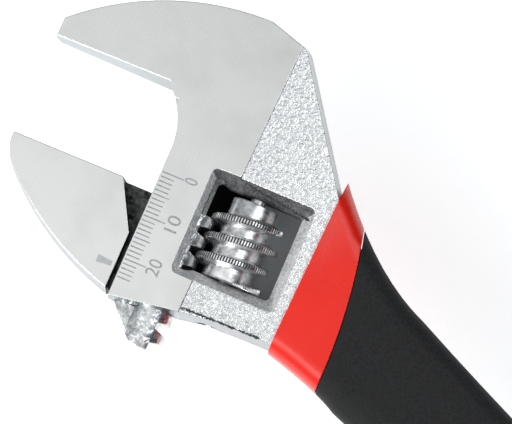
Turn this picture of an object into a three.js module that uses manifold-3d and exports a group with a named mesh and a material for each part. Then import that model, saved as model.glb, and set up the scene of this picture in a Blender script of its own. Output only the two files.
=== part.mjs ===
// Adjustable wrench, 200 mm class, with a two-material grip.
//
// Head frame, in millimetres: +X runs along the jaw faces from the tips towards the handle, +Y is the way
// from the movable jaw to the fixed jaw, and +Z is up through the thickness of the wrench lying flat.
// x = 0 is the head's scale edge, y = 0 is the fixed jaw's face and z = 0 is the middle of the thickness.
// The handle leaves the head at HANDLE_ANGLE; (u, v) are distances along and across it, from the same origin.

import * as THREE from 'three';
import { mergeVertices } from 'three/addons/utils/BufferGeometryUtils.js';
import Module from 'manifold-3d';

const wasm = await Module();
wasm.setup();

// ---------------------------------------------------------------- driving dimensions

const OVERALL_LENGTH = 208; // fixed jaw's tip to the end of the grip, along the handle
const HANDLE_ANGLE = THREE.MathUtils.degToRad(22.5); // handle against the jaw faces

// Head and jaws
const JAW_REACH = 33.4; // scale edge to the jaw tips
const JAW_OPENING = 22.7; // between the jaw faces, as stored
const TIP_HEIGHT = 4.4; // blunt end of each jaw
const FIXED_BACK_RADIUS = 62.1; // curve of the fixed jaw's back
const FIXED_BACK_CENTRE = 8.9; // centre of that curve, behind the scale edge
const FIXED_BACK_END = 9.3; // where that curve gives way to the straight top
const THROAT_RADIUS = 16.7; // curve between the fixed jaw's face and the scale edge
const THROAT_START = 6.5; // end of the flat jaw face, before the scale edge
const THROAT_FILLET_X = 4.4;
const THROAT_FILLET_Y = 2.2;
const HALF_AT_EDGE = 6.4; // half thickness at the scale edge
const FACE_TAPER = Math.tan(THREE.MathUtils.degToRad(4)); // ground faces thin towards the tips
const REAR_HALF = 7.1; // half thickness of the unground forging behind the ground faces
const GROUND_END_TOP = 17.2; // end of the ground faces, at the fixed jaw's side
const GROUND_END_LOW = 15.1; // and at the movable jaw's side
const DRAFT = 0.17; // forging draft, side shift for each millimetre of height
const PARTING_LAND = 0.4; // straight land at the parting line
const HEAD_TOP_CORNER = [18.7, 18.2]; // corner of the straight top and the slanted back
const HEAD_TOP_ROUND = 1.5;
const HEAD_TOP_REAR = 5.9; // slanted back at the collar, below the fixed jaw's face
const LOW_WALL = 9.3; // steel between the worm window and the head's lower edge at the collar
const LOW_DROP_GROUND = 1.4; // the lower edge drops by this to the end of the ground faces
const LOW_DROP_CORNER = 3.7; // and by this to the scale edge
const STOCK = 4; // material left outside the surfaces that are milled

// Movable jaw
const JAW_BACK_RADIUS = 65.7;
const JAW_LOWER_END = 24; // lowest corner of the jaw, from its face
const JAW_HEEL_DEPTH = 10.6; // face to where the inner side turns parallel to the scale edge
const JAW_HEEL_REACH = 7.1; // inner end of the jaw face, before the scale edge
const JAW_EDGE_GAP = 1.1; // between the jaw's inner side and the scale edge
const JAW_CHIN_ROUND = 3; // rounding under the tip
const WEB_HALF = 2.6; // half thickness of the web that passes the slot
const WEB_DROP = 0.6; // web and rail start this far below the jaw face
const RAIL_RADIUS = 4.6;
const RAIL_AXIS = 9.6; // rail's axis behind the scale edge
const RAIL_LENGTH = 31;
const RAIL_FLAT = 1.4; // the rail's end is square from its axis to here, then rounds off to the web
const RAIL_CORNER = 4; // where that rounding meets the web's slanted end, from the axis
const RAIL_CORNER_RISE = 2.2;
const WEB_SLOPE_START = 25.3; // where the web's slanted lower end leaves the jaw, from its face
const WEB_SLOPE_REACH = 1.6; // and how far behind the scale edge
const SLIDE_GAP = 0.15; // running clearance all round the rail and the web
const CLOSED_GAP = 0.3; // between the closed rail and the blind end of its bore

// Worm, pin and spring
const WORM_RADIUS = 8.05; // crest of the thread
const HUB_RADIUS = 5.3; // root of the thread
const WORM_LENGTH = 17.8;
const WORM_TOP = 17; // worm's upper end, below the fixed jaw's face
const WORM_COLLAR = 2.3; // plain collar at the upper end
const WORM_FOOT = 0.5; // plain land at the lower end
const THREAD_PITCH = 4.45;
const THREAD_CREST = 1.2; // width of the thread's crest
const THREAD_FLANK = Math.tan(THREE.MathUtils.degToRad(15));
const THREAD_PHASE = -24.95; // height of a crest where it faces the handle
const MESH_DEPTH = 1.25; // how far the thread reaches in between the rack teeth
const MESH_GAP = 0.39; // clearance on each flank, shared by RACK_LEAN
const RACK_LEAN = 0.2; // the rack rests this much nearer to the upper flank
const RACK_DEPTH = 2.5;
const PIN_RADIUS = 1.85;
const PIN_GAP = 0.08;
const PIN_HEAD_RADIUS = 2.45;
const PIN_HEAD_LENGTH = 3.2;
const PIN_RECESS = 0.4; // slotted face above the lower edge at the collar
const PIN_SLOT = 0.8; // width and depth of the screwdriver slot
const PIN_SEAT = 3.6; // depth of the pin's blind hole above the window
const SPRING_WIRE = 0.35; // wire radius
const SPRING_COIL = 2.85; // mean coil radius
const SPRING_LENGTH = 5.6;
const SPRING_TURNS = 4;
const SPRING_END_GAP = 0.1;
const SPRING_SIDE_GAP = 0.4;

// Worm window: gaps between the worm and the narrowest part of the window
const WINDOW_RACK_SIDE = 0.75;
const WINDOW_HANDLE_SIDE = 2.15;
const WINDOW_ABOVE = 1.2;
const WINDOW_BELOW = 0.2;
const WINDOW_CORNER = 1;
const WINDOW_LAND = 4.2; // straight part at the middle of the thickness
const WINDOW_FLARE = 2.2; // how far each side leans out at the faces

// Grip
// How its sides run at the collar: distances behind the collar's front and above the head's rear corners
const GRIP_TOP_TIP = [-13.2, 19.2];
const GRIP_TOP_FRONT = [-3.4, 6.2];
const GRIP_TOP_BEND = [11.3, -14.3];
const GRIP_LOW_BEND = [10.5, -3];
const GRIP_LOW_FRONT = [-8.4, 1.2];
const GRIP_LOW_TIP = [-35.7, 3];
const COLLAR_WALL = 1.4; // plastic over the steel's faces in the collar
const GRIP_AXIS = -13.5; // v of the handle's centre line
const GRIP_WIDTH = 26.8;
const GRIP_WAIST = 1.3; // how much narrower each side is in the middle
const GRIP_EDGE_WIDE = 4.2; // edge rounding, across
const GRIP_EDGE_HIGH = 5.5; // edge rounding, in thickness
const COLLAR_BEHIND_WINDOW = 5.1; // steel between the window's narrow part and the collar
const COLLAR_LENGTH = 12.3; // collar along the jaw faces, at the lower side
const COLLAR_ARC = 120; // curve of the joint between collar and cover
const COLLAR_RAKE = 1.6; // the collar's front leans back by this from its lower to its upper side
const COVER_WALL = 2.2;
const CORE_GAP = 0.2; // between steel, core and cover
const CORE_WALL = 1.4; // plastic over the shank's edges, under the cover
const SHANK_HALF = 4.5;
const SHANK_START = 28; // where the shank has its even width, behind the collar's front
const NECK_SHARE = 0.35; // part of the collar's length that the full steel thickness reaches into
const EYE_RADIUS = 5.2; // hole in the steel
const HANG_HOLE_RADIUS = 4;
const HANG_RIM_RADIUS = 6.6; // cover's hole, which lets the core show as a rim

// Faceting
const ROUND = 40; // sides of a full circle of the rail and its bore
const FINE = 24;

// ---------------------------------------------------------------- sizes worked out from those

const FACE = 0;
const JAW_FACE = FACE - JAW_OPENING;
const WEB_TOP = JAW_FACE - WEB_DROP;
const RAIL_BOTTOM = WEB_TOP - RAIL_LENGTH;
const BORE_TOP = FACE - WEB_DROP + CLOSED_GAP;
const WORM_AXIS = RAIL_AXIS + RAIL_RADIUS + WORM_RADIUS - MESH_DEPTH;
const WORM_BOTTOM = -WORM_TOP - WORM_LENGTH;
const WINDOW_LEFT = WORM_AXIS - WORM_RADIUS - WINDOW_RACK_SIDE;
const WINDOW_RIGHT = WORM_AXIS + WORM_RADIUS + WINDOW_HANDLE_SIDE;
const WINDOW_TOP = -WORM_TOP + WINDOW_ABOVE;
const WINDOW_BOTTOM = WORM_BOTTOM - WINDOW_BELOW;
const COLLAR_FRONT = WINDOW_RIGHT + COLLAR_BEHIND_WINDOW;
const NECK_END = COLLAR_FRONT + NECK_SHARE * COLLAR_LENGTH;
const HEAD_LOW_REAR = LOW_WALL - WINDOW_BOTTOM;
const HEAD_HALF = HALF_AT_EDGE + FACE_TAPER * GROUND_END_TOP;
const GRIP_HALF = REAR_HALF + CORE_GAP + COLLAR_WALL;
const SHANK_WIDTH = GRIP_WIDTH - 2 * (GRIP_WAIST + COVER_WALL + CORE_WALL);
const TIP_U = -JAW_REACH * Math.cos(HANDLE_ANGLE) - TIP_HEIGHT * Math.sin(HANDLE_ANGLE);
const EYE_U = TIP_U + OVERALL_LENGTH - GRIP_WIDTH / 2;
const REACH = 400; // longer than anything that a cutter has to pass
const FULL_TURN = 2 * Math.PI;

// ---------------------------------------------------------------- solids

/** A closed three.js geometry as a solid that can be joined and cut. */
function solid(geometry) {
  const bare = geometry.clone();
  bare.deleteAttribute('normal');
  bare.deleteAttribute('uv');
  const merged = mergeVertices(bare, 1e-4);
  return new wasm.Manifold(new wasm.Mesh({
    numProp: 3,
    vertProperties: new Float32Array(merged.attributes.position.array),
    triVerts: new Uint32Array(merged.index.array),
  }));
}

/** The solid's surface as a three.js geometry. */
function surfaceOf(body) {
  const mesh = body.getMesh();
  const geometry = new THREE.BufferGeometry();
  geometry.setAttribute('position', new THREE.BufferAttribute(new Float32Array(mesh.vertProperties), 3));
  geometry.setIndex(new THREE.BufferAttribute(new Uint32Array(mesh.triVerts), 1));
  geometry.computeVertexNormals();
  return geometry;
}

/** A flat shape as a straight-sided plate of the given half thickness. */
function plate(shape, half, curveSegments = 12) {
  const options = { depth: 2 * half, bevelEnabled: false, curveSegments };
  return solid(new THREE.ExtrudeGeometry(shape, options).translate(0, 0, -half));
}

/** A flat shape as a forging: widest at the parting line, with draft towards both faces. */
function forging(shape, half, grow = 0, curveSegments = 16) {
  const rise = half - PARTING_LAND / 2;
  const lean = rise * DRAFT;
  const options = {
    depth: PARTING_LAND,
    bevelThickness: rise,
    bevelSize: lean,
    bevelOffset: grow - lean,
    bevelSegments: 1,
    curveSegments,
  };
  return solid(new THREE.ExtrudeGeometry(shape, options).translate(0, 0, -PARTING_LAND / 2));
}

/** A flat shape as a moulding with its outer edges rounded; inset shrinks it all round. */
function moulding(shape, half, edgeWide, edgeHigh, inset = 0) {
  const options = {
    depth: 2 * (half - edgeHigh),
    bevelThickness: edgeHigh,
    bevelSize: edgeWide,
    bevelOffset: -edgeWide - inset,
    bevelSegments: 4,
    curveSegments: 10,
  };
  return solid(new THREE.ExtrudeGeometry(shape, options).translate(0, 0, edgeHigh - half));
}

/** A box between two corners. */
function block(x0, x1, y0, y1, z0, z1) {
  const box = new THREE.BoxGeometry(x1 - x0, y1 - y0, z1 - z0);
  return solid(box.translate((x0 + x1) / 2, (y0 + y1) / 2, (z0 + z1) / 2));
}

/** A rod along Y about the axis at x, between two heights. */
function rodAlongY(radius, x, y0, y1, sides = FINE) {
  const rod = new THREE.CylinderGeometry(radius, radius, y1 - y0, sides);
  return solid(rod.translate(x, (y0 + y1) / 2, 0));
}

/** A rod along Z, through everything. */
function rodAlongZ(radius, centre, half, sides = FINE) {
  const rod = new THREE.CylinderGeometry(radius, radius, 2 * half, sides);
  return solid(rod.rotateX(Math.PI / 2).translate(centre.x, centre.y, 0));
}

/** A section in (radius, height) wound down a right-hand helix about Y from (startAngle, startHeight). */
function helix(section, turns, pitch, startAngle, startHeight, stepsPerTurn) {
  const steps = Math.ceil(turns * stepsPerTurn);
  const bar = new THREE.ExtrudeGeometry(section, { depth: turns, steps, bevelEnabled: false, curveSegments: 2 });
  const point = bar.attributes.position;
  for (let i = 0; i < point.count; i += 1) {
    const radius = point.getX(i);
    const turn = point.getZ(i);
    const angle = startAngle - turn * FULL_TURN;
    const height = startHeight + point.getY(i) - turn * pitch;
    point.setXYZ(i, radius * Math.sin(angle), height, radius * Math.cos(angle));
  }
  return bar;
}

/** A closed polygon through the given corners. */
function polygon(corners) {
  return new THREE.Shape(corners.map(([x, y]) => new THREE.Vector2(x, y)));
}

/** The point at (u, v) along and across the handle. */
function onHandle(u, v) {
  const cos = Math.cos(HANDLE_ANGLE);
  const sin = Math.sin(HANDLE_ANGLE);
  return new THREE.Vector2(u * cos + v * sin, v * cos - u * sin);
}

/** A plate between two lines x(y) that crosses the whole handle: from the first line to the far end. */
function behindLine(xTop, yTop, xLow, yLow) {
  const slope = (xTop - xLow) / (yTop - yLow);
  const top = [xLow + slope * (REACH - yLow), REACH];
  const low = [xLow - slope * (REACH + yLow), -REACH];
  return plate(polygon([top, low, [REACH, -REACH], [REACH, REACH]]), REACH);
}

// ---------------------------------------------------------------- body

/** Outline of the forging at its parting line: fixed jaw, head, neck, shank and eye. */
function bodyOutline() {
  const shape = new THREE.Shape();
  shape.moveTo(-JAW_REACH, FACE - STOCK);
  outlineFixedJaw(shape);
  outlineShank(shape);
  shape.quadraticCurveTo(WORM_AXIS, -HEAD_LOW_REAR, GROUND_END_LOW, -HEAD_LOW_REAR - LOW_DROP_GROUND);
  shape.lineTo(0, -HEAD_LOW_REAR - LOW_DROP_CORNER);
  shape.lineTo(-STOCK, -HEAD_LOW_REAR - LOW_DROP_CORNER);
  shape.lineTo(-STOCK, FACE - STOCK);
  return shape;
}

/** The blunt tip, the curved back, the straight top and its rounded corner with the slanted back. */
function outlineFixedJaw(shape) {
  const centreX = FIXED_BACK_CENTRE;
  const centreY = TIP_HEIGHT - Math.sqrt(FIXED_BACK_RADIUS ** 2 - (JAW_REACH + centreX) ** 2);
  const tipAngle = Math.atan2(TIP_HEIGHT - centreY, -JAW_REACH - centreX);
  const endAngle = Math.acos((FIXED_BACK_END - centreX) / FIXED_BACK_RADIUS);
  const [cornerX, cornerY] = HEAD_TOP_CORNER;
  const round = HEAD_TOP_ROUND;
  shape.lineTo(-JAW_REACH, TIP_HEIGHT);
  shape.absarc(centreX, centreY, FIXED_BACK_RADIUS, tipAngle, endAngle, true);
  shape.lineTo(cornerX - round, cornerY + 0.3 * round);
  shape.quadraticCurveTo(cornerX, cornerY, cornerX + 0.6 * round, cornerY - 0.85 * round);
}

/** Down the slanted back, along the shank, round the eye and back to the lower edge at the collar. */
function outlineShank(shape) {
  const rear = COLLAR_FRONT - COLLAR_RAKE / 2;
  const half = SHANK_WIDTH / 2;
  const bend = 6.5; // the neck's two curves turn towards the shank this far behind the collar's front
  const top = onHandle(COLLAR_FRONT + SHANK_START, GRIP_AXIS + half);
  const low = onHandle(COLLAR_FRONT + SHANK_START, GRIP_AXIS - half);
  const eye = onHandle(EYE_U, GRIP_AXIS);
  shape.lineTo(rear, -HEAD_TOP_REAR);
  shape.quadraticCurveTo(rear + bend, -HEAD_TOP_REAR - 1.5 * bend, top.x, top.y);
  shape.absarc(eye.x, eye.y, half, Math.PI / 2 - HANDLE_ANGLE, -Math.PI / 2 - HANDLE_ANGLE, true);
  shape.lineTo(low.x, low.y);
  shape.quadraticCurveTo(rear + bend, -HEAD_LOW_REAR, rear + 1, -HEAD_LOW_REAR);
}

/** Plates whose faces bound the forging: the ground wedge, the unground rear and the thin shank. */
function bodyThickness(grow) {
  const wedgeEnd = Math.max(GROUND_END_TOP, GROUND_END_LOW) + 2;
  const wedgeHalf = HALF_AT_EDGE + FACE_TAPER * wedgeEnd;
  const wedge = polygon([[-HALF_AT_EDGE / FACE_TAPER, 0], [wedgeEnd, wedgeHalf], [wedgeEnd, -wedgeHalf]]);
  const options = { depth: 2 * REACH, bevelEnabled: false };
  const tapered = solid(new THREE.ExtrudeGeometry(wedge, options).rotateX(Math.PI / 2).translate(0, REACH, 0));
  const beyondGround = behindLine(GROUND_END_TOP, HEAD_TOP_CORNER[1], GROUND_END_LOW, -HEAD_LOW_REAR);
  const rearHalf = REAR_HALF + grow;
  const rear = block(GROUND_END_LOW - 2, NECK_END + grow, -REACH, REACH, -rearHalf, rearHalf);
  const shankHalf = SHANK_HALF + grow;
  const shank = block(NECK_END - 1, REACH, -REACH, REACH, -shankHalf, shankHalf);
  return tapered.subtract(beyondGround).add(rear).add(shank);
}

/** The forging before machining; grow adds clearance all round, for what is moulded onto it. */
function bodyBlank(grow = 0) {
  return forging(bodyOutline(), HEAD_HALF + 1 + grow, grow).intersect(bodyThickness(grow));
}

/** The space in front of the scale edge and under the fixed jaw's face, which is milled straight. */
function mouthCut() {
  const arcX = -THROAT_RADIUS;
  const reach = THROAT_RADIUS - THROAT_FILLET_X;
  const drop = Math.sqrt(THROAT_RADIUS ** 2 - reach ** 2);
  const arcY = FACE - THROAT_FILLET_Y - drop;
  const shape = new THREE.Shape();
  shape.moveTo(-REACH, FACE);
  shape.lineTo(-THROAT_START, FACE);
  shape.quadraticCurveTo(-THROAT_FILLET_X - 1, FACE, -THROAT_FILLET_X, FACE - THROAT_FILLET_Y);
  shape.absarc(arcX, arcY, THROAT_RADIUS, Math.atan2(drop, reach), 0, true);
  shape.lineTo(0, -REACH);
  shape.lineTo(-REACH, -REACH);
  return plate(shape, REACH);
}

/** A rounded rectangle for the window. */
function windowOutline() {
  const r = WINDOW_CORNER;
  const shape = new THREE.Shape();
  shape.moveTo(WINDOW_LEFT + r, WINDOW_BOTTOM);
  shape.lineTo(WINDOW_RIGHT - r, WINDOW_BOTTOM);
  shape.absarc(WINDOW_RIGHT - r, WINDOW_BOTTOM + r, r, -Math.PI / 2, 0);
  shape.lineTo(WINDOW_RIGHT, WINDOW_TOP - r);
  shape.absarc(WINDOW_RIGHT - r, WINDOW_TOP - r, r, 0, Math.PI / 2);
  shape.lineTo(WINDOW_LEFT + r, WINDOW_TOP);
  shape.absarc(WINDOW_LEFT + r, WINDOW_TOP - r, r, Math.PI / 2, Math.PI);
  shape.lineTo(WINDOW_LEFT, WINDOW_BOTTOM + r);
  shape.absarc(WINDOW_LEFT + r, WINDOW_BOTTOM + r, r, Math.PI, 1.5 * Math.PI);
  return shape;
}

/** The worm window: straight at the middle of the thickness and flared towards each face. */
function windowCut() {
  const halfLand = WINDOW_LAND / 2;
  const outer = HEAD_HALF + 1;
  const centre = new THREE.Vector2((WINDOW_LEFT + WINDOW_RIGHT) / 2, (WINDOW_TOP + WINDOW_BOTTOM) / 2);
  const flare = WINDOW_FLARE * (outer - halfLand) / (REAR_HALF - halfLand);
  const wide = 1 + 2 * flare / (WINDOW_RIGHT - WINDOW_LEFT);
  const high = 1 + 2 * flare / (WINDOW_TOP - WINDOW_BOTTOM);
  const options = { depth: outer - halfLand, bevelEnabled: false, curveSegments: 4 };
  const flared = new THREE.ExtrudeGeometry(windowOutline(), options);
  const point = flared.attributes.position;
  for (let i = 0; i < point.count; i += 1) {
    if (point.getZ(i) > halfLand / 2) {
      const x = centre.x + (point.getX(i) - centre.x) * wide;
      const y = centre.y + (point.getY(i) - centre.y) * high;
      point.setXYZ(i, x, y, point.getZ(i));
    }
  }
  flared.translate(0, 0, halfLand);
  const lower = flared.clone().rotateY(Math.PI).translate(2 * centre.x, 0, 0);
  return plate(windowOutline(), halfLand, 4).add(solid(flared)).add(solid(lower));
}

/** Blind bore and slot in which the movable jaw's rail and web slide. */
function slideCut() {
  const half = WEB_HALF + SLIDE_GAP;
  const bore = rodAlongY(RAIL_RADIUS + SLIDE_GAP, RAIL_AXIS, -REACH, BORE_TOP, ROUND);
  return bore.add(block(-REACH, RAIL_AXIS, -REACH, BORE_TOP, -half, half));
}

/** Hole for the worm's pin, from the lower side to a blind end above the window. */
function pinCut() {
  const seat = pinEnds();
  const shaft = rodAlongY(PIN_RADIUS + PIN_GAP, WORM_AXIS, -REACH, seat.top + PIN_GAP);
  return shaft.add(rodAlongY(PIN_HEAD_RADIUS + PIN_GAP, WORM_AXIS, -REACH, seat.shoulder + PIN_GAP));
}

/** Heights of the pin's end, shoulder and slotted face. */
function pinEnds() {
  const bottom = PIN_RECESS - HEAD_LOW_REAR;
  return { top: WINDOW_TOP + PIN_SEAT, shoulder: bottom + PIN_HEAD_LENGTH, bottom };
}

function makeBody() {
  const eye = rodAlongZ(EYE_RADIUS, onHandle(EYE_U, GRIP_AXIS), REACH);
  return bodyBlank()
    .subtract(mouthCut())
    .subtract(windowCut())
    .subtract(slideCut())
    .subtract(pinCut())
    .subtract(eye);
}

// ---------------------------------------------------------------- movable jaw

/** Outline of the movable jaw at its parting line, with stock beyond its milled face and inner side. */
function jawOutline() {
  const chord = new THREE.Vector2(JAW_REACH, JAW_LOWER_END - TIP_HEIGHT + 0.6);
  const middle = new THREE.Vector2(-JAW_REACH / 2, JAW_FACE - (TIP_HEIGHT + JAW_LOWER_END) / 2);
  const inward = new THREE.Vector2(chord.y, chord.x).normalize();
  const rise = Math.sqrt(JAW_BACK_RADIUS ** 2 - chord.lengthSq() / 4);
  const centre = middle.addScaledVector(inward, rise);
  const yAt = (x) => centre.y - Math.sqrt(JAW_BACK_RADIUS ** 2 - (x - centre.x) ** 2);
  const chinX = -JAW_REACH + JAW_CHIN_ROUND;
  const startAngle = Math.atan2(yAt(chinX) - centre.y, chinX - centre.x);
  const endAngle = Math.atan2(yAt(0) - centre.y, -centre.x);
  const shape = new THREE.Shape();
  shape.moveTo(0, JAW_FACE + 3);
  shape.lineTo(-JAW_REACH, JAW_FACE + 3);
  shape.lineTo(-JAW_REACH, yAt(-JAW_REACH) + JAW_CHIN_ROUND);
  shape.quadraticCurveTo(-JAW_REACH, yAt(-JAW_REACH), chinX, yAt(chinX));
  shape.absarc(centre.x, centre.y, JAW_BACK_RADIUS, startAngle, endAngle, false);
  return shape;
}

/** What stays of the jaw after its face and its inner side are milled. */
function jawMilling() {
  const heel = JAW_FACE - JAW_HEEL_DEPTH;
  const lowest = JAW_FACE - JAW_LOWER_END;
  return plate(polygon([
    [-REACH, JAW_FACE],
    [-JAW_HEEL_REACH, JAW_FACE],
    [-JAW_EDGE_GAP, heel],
    [-JAW_EDGE_GAP, lowest],
    [-REACH, lowest],
  ]), REACH);
}

/** The thin web between jaw and rail, with its slanted lower end. */
function webOutline() {
  const slopeStart = JAW_FACE - WEB_SLOPE_START;
  const inJaw = -JAW_HEEL_REACH - 2;
  const shape = new THREE.Shape();
  shape.moveTo(inJaw, WEB_TOP);
  shape.lineTo(RAIL_AXIS, WEB_TOP);
  shape.lineTo(RAIL_AXIS, RAIL_BOTTOM);
  roundRailCorner(shape);
  shape.lineTo(WEB_SLOPE_REACH, slopeStart);
  shape.lineTo(-JAW_EDGE_GAP - 0.4, slopeStart + 3);
  shape.lineTo(inJaw, JAW_FACE - JAW_HEEL_DEPTH);
  return shape;
}

/** Carries an outline along the rail's square end and round its corner towards the web. */
function roundRailCorner(shape) {
  shape.lineTo(RAIL_AXIS - RAIL_FLAT, RAIL_BOTTOM);
  const middle = RAIL_AXIS - (RAIL_FLAT + RAIL_CORNER) / 2;
  shape.quadraticCurveTo(middle, RAIL_BOTTOM + 0.4, RAIL_AXIS - RAIL_CORNER, RAIL_BOTTOM + RAIL_CORNER_RISE);
}

/** The round rail, with the corner of its lower end rounded towards the web. */
function railBlank() {
  const rail = rodAlongY(RAIL_RADIUS, RAIL_AXIS, RAIL_BOTTOM, WEB_TOP, ROUND);
  const outside = RAIL_RADIUS + 1;
  const keep = new THREE.Shape();
  keep.moveTo(RAIL_AXIS + outside, WEB_TOP + 1);
  keep.lineTo(RAIL_AXIS + outside, RAIL_BOTTOM - 1);
  keep.lineTo(RAIL_AXIS - RAIL_FLAT, RAIL_BOTTOM - 1);
  roundRailCorner(keep);
  keep.lineTo(RAIL_AXIS - outside, RAIL_BOTTOM + RAIL_CORNER_RISE + 1);
  keep.lineTo(RAIL_AXIS - outside, WEB_TOP + 1);
  return rail.intersect(plate(keep, outside, 6));
}

/** Cutters for the gaps between the rack teeth, leaning with the worm's lead and in mesh with its thread. */
function rackCuts() {
  const tipX = RAIL_AXIS + RAIL_RADIUS;
  const rootX = tipX - RACK_DEPTH;
  const tipHalf = THREAD_PITCH / 2 - MESH_GAP - THREAD_CREST / 2 - MESH_DEPTH * THREAD_FLANK;
  const over = 1;
  const rootGap = THREAD_PITCH / 2 - tipHalf - RACK_DEPTH * THREAD_FLANK;
  const outerGap = THREAD_PITCH / 2 - tipHalf + over * THREAD_FLANK;
  const gap = polygon([[rootX, -rootGap], [tipX + over, -outerGap], [tipX + over, outerGap], [rootX, rootGap]]);
  const leadRadius = WORM_RADIUS - MESH_DEPTH / 2;
  const lead = Math.atan2(THREAD_PITCH, FULL_TURN * leadRadius);
  const half = RAIL_RADIUS + 1;
  const options = { depth: 2 * half, bevelEnabled: false };
  const firstGap = THREAD_PHASE + THREAD_PITCH / 2 + RACK_LEAN;
  const upwards = Math.ceil((WEB_TOP - firstGap) / THREAD_PITCH);
  const count = Math.ceil(RAIL_LENGTH / THREAD_PITCH) + 1;
  let cuts = null;
  for (let k = 0; k < count; k += 1) {
    const height = firstGap + (upwards - k) * THREAD_PITCH;
    const cutter = new THREE.ExtrudeGeometry(gap, options).translate(0, 0, -half).rotateX(-lead);
    const cut = solid(cutter.translate(0, height, 0));
    cuts = cuts ? cuts.add(cut) : cut;
  }
  const endCut = block(rootX, tipX + over, RAIL_BOTTOM - 1, RAIL_BOTTOM + 1.2, -half, half);
  return cuts.add(endCut);
}

function makeMovableJaw() {
  const outer = forging(jawOutline(), HEAD_HALF + 1, 0, 8).intersect(bodyThickness(0)).intersect(jawMilling());
  return outer.add(plate(webOutline(), WEB_HALF, 6)).add(railBlank()).subtract(rackCuts());
}

// ---------------------------------------------------------------- worm, pin and spring

function makeWorm() {
  const top = -WORM_TOP;
  const depth = WORM_RADIUS - HUB_RADIUS;
  const sunk = 0.5; // thread section reaches into the hub by this
  const crestHalf = THREAD_CREST / 2;
  const rootHalf = crestHalf + (depth + sunk) * THREAD_FLANK;
  const section = polygon([
    [HUB_RADIUS - sunk, -rootHalf],
    [WORM_RADIUS, -crestHalf],
    [WORM_RADIUS, crestHalf],
    [HUB_RADIUS - sunk, rootHalf],
  ]);
  const startAngle = Math.PI / 2 + FULL_TURN * (top - THREAD_PHASE) / THREAD_PITCH;
  const turns = WORM_LENGTH / THREAD_PITCH;
  const thread = helix(section, turns, THREAD_PITCH, startAngle, top, FINE + 8);
  thread.translate(WORM_AXIS, 0, 0);
  const threaded = block(
    WORM_AXIS - REACH, WORM_AXIS + REACH,
    WORM_BOTTOM + WORM_FOOT, top - WORM_COLLAR,
    -REACH, REACH,
  );
  const counterbore = SPRING_COIL + SPRING_WIRE + SPRING_SIDE_GAP;
  const floor = WINDOW_BOTTOM + 2 * SPRING_END_GAP + SPRING_LENGTH;
  return rodAlongY(HUB_RADIUS, WORM_AXIS, WORM_BOTTOM, top, FINE + 8)
    .add(solid(thread).intersect(threaded))
    .subtract(rodAlongY(PIN_RADIUS + PIN_GAP, WORM_AXIS, WORM_BOTTOM - 1, top + 1))
    .subtract(rodAlongY(counterbore, WORM_AXIS, WORM_BOTTOM - 1, floor));
}

function makeWormPin() {
  const { top, shoulder, bottom } = pinEnds();
  const slot = block(
    WORM_AXIS - PIN_HEAD_RADIUS - 1, WORM_AXIS + PIN_HEAD_RADIUS + 1,
    bottom - 1, bottom + PIN_SLOT,
    -PIN_SLOT / 2, PIN_SLOT / 2,
  );
  return rodAlongY(PIN_RADIUS, WORM_AXIS, bottom, top)
    .add(rodAlongY(PIN_HEAD_RADIUS, WORM_AXIS, bottom, shoulder))
    .subtract(slot);
}

function makeWormSpring() {
  const wire = new THREE.Shape();
  wire.absarc(SPRING_COIL, 0, SPRING_WIRE, 0, FULL_TURN);
  const pitch = (SPRING_LENGTH - 2 * SPRING_WIRE) / SPRING_TURNS;
  const top = WINDOW_BOTTOM + SPRING_END_GAP + SPRING_LENGTH - SPRING_WIRE;
  const coil = helix(polygonOf(wire, 6), SPRING_TURNS, pitch, 0, top, FINE);
  return solid(coil.translate(WORM_AXIS, 0, 0));
}

/** A round shape as a regular polygon with the given number of sides. */
function polygonOf(shape, sides) {
  return new THREE.Shape(shape.getSpacedPoints(sides).slice(0, sides));
}

// ---------------------------------------------------------------- grip

/** Outline of the whole grip, which runs on forwards past the collar's open front. */
function gripOutline() {
  const half = GRIP_WIDTH / 2;
  const evenU = COLLAR_FRONT + SHANK_START + 4;
  const middle = (evenU + EYE_U) / 2;
  const eye = onHandle(EYE_U, GRIP_AXIS);
  const topEye = onHandle(EYE_U, GRIP_AXIS + half);
  const topEven = onHandle(evenU, GRIP_AXIS + half);
  const lowEven = onHandle(evenU, GRIP_AXIS - half);
  const topWaist = onHandle(middle, GRIP_AXIS + half - 2 * GRIP_WAIST);
  const lowWaist = onHandle(middle, GRIP_AXIS - half + 2 * GRIP_WAIST);
  const topBend = atCollar(GRIP_TOP_BEND, HEAD_TOP_REAR);
  const lowBend = atCollar(GRIP_LOW_BEND, HEAD_LOW_REAR);
  const shape = new THREE.Shape();
  shape.moveTo(...atCollar(GRIP_TOP_TIP, HEAD_TOP_REAR));
  shape.lineTo(...atCollar(GRIP_TOP_FRONT, HEAD_TOP_REAR));
  shape.quadraticCurveTo(...topBend, topEven.x, topEven.y);
  shape.quadraticCurveTo(topWaist.x, topWaist.y, topEye.x, topEye.y);
  shape.absarc(eye.x, eye.y, half, Math.PI / 2 - HANDLE_ANGLE, -Math.PI / 2 - HANDLE_ANGLE, true);
  shape.quadraticCurveTo(lowWaist.x, lowWaist.y, lowEven.x, lowEven.y);
  shape.quadraticCurveTo(...lowBend, ...atCollar(GRIP_LOW_FRONT, HEAD_LOW_REAR));
  shape.lineTo(...atCollar(GRIP_LOW_TIP, HEAD_LOW_REAR));
  return shape;
}

/** A point given by its distances behind the collar's front and above the head's rear corner at that depth. */
function atCollar([behind, above], cornerDepth) {
  return [COLLAR_FRONT + behind, above - cornerDepth];
}

/** Everything behind the collar's open front. */
function behindCollarFront() {
  const half = COLLAR_RAKE / 2;
  return behindLine(COLLAR_FRONT + half, -HEAD_TOP_REAR, COLLAR_FRONT - half, -HEAD_LOW_REAR);
}

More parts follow.
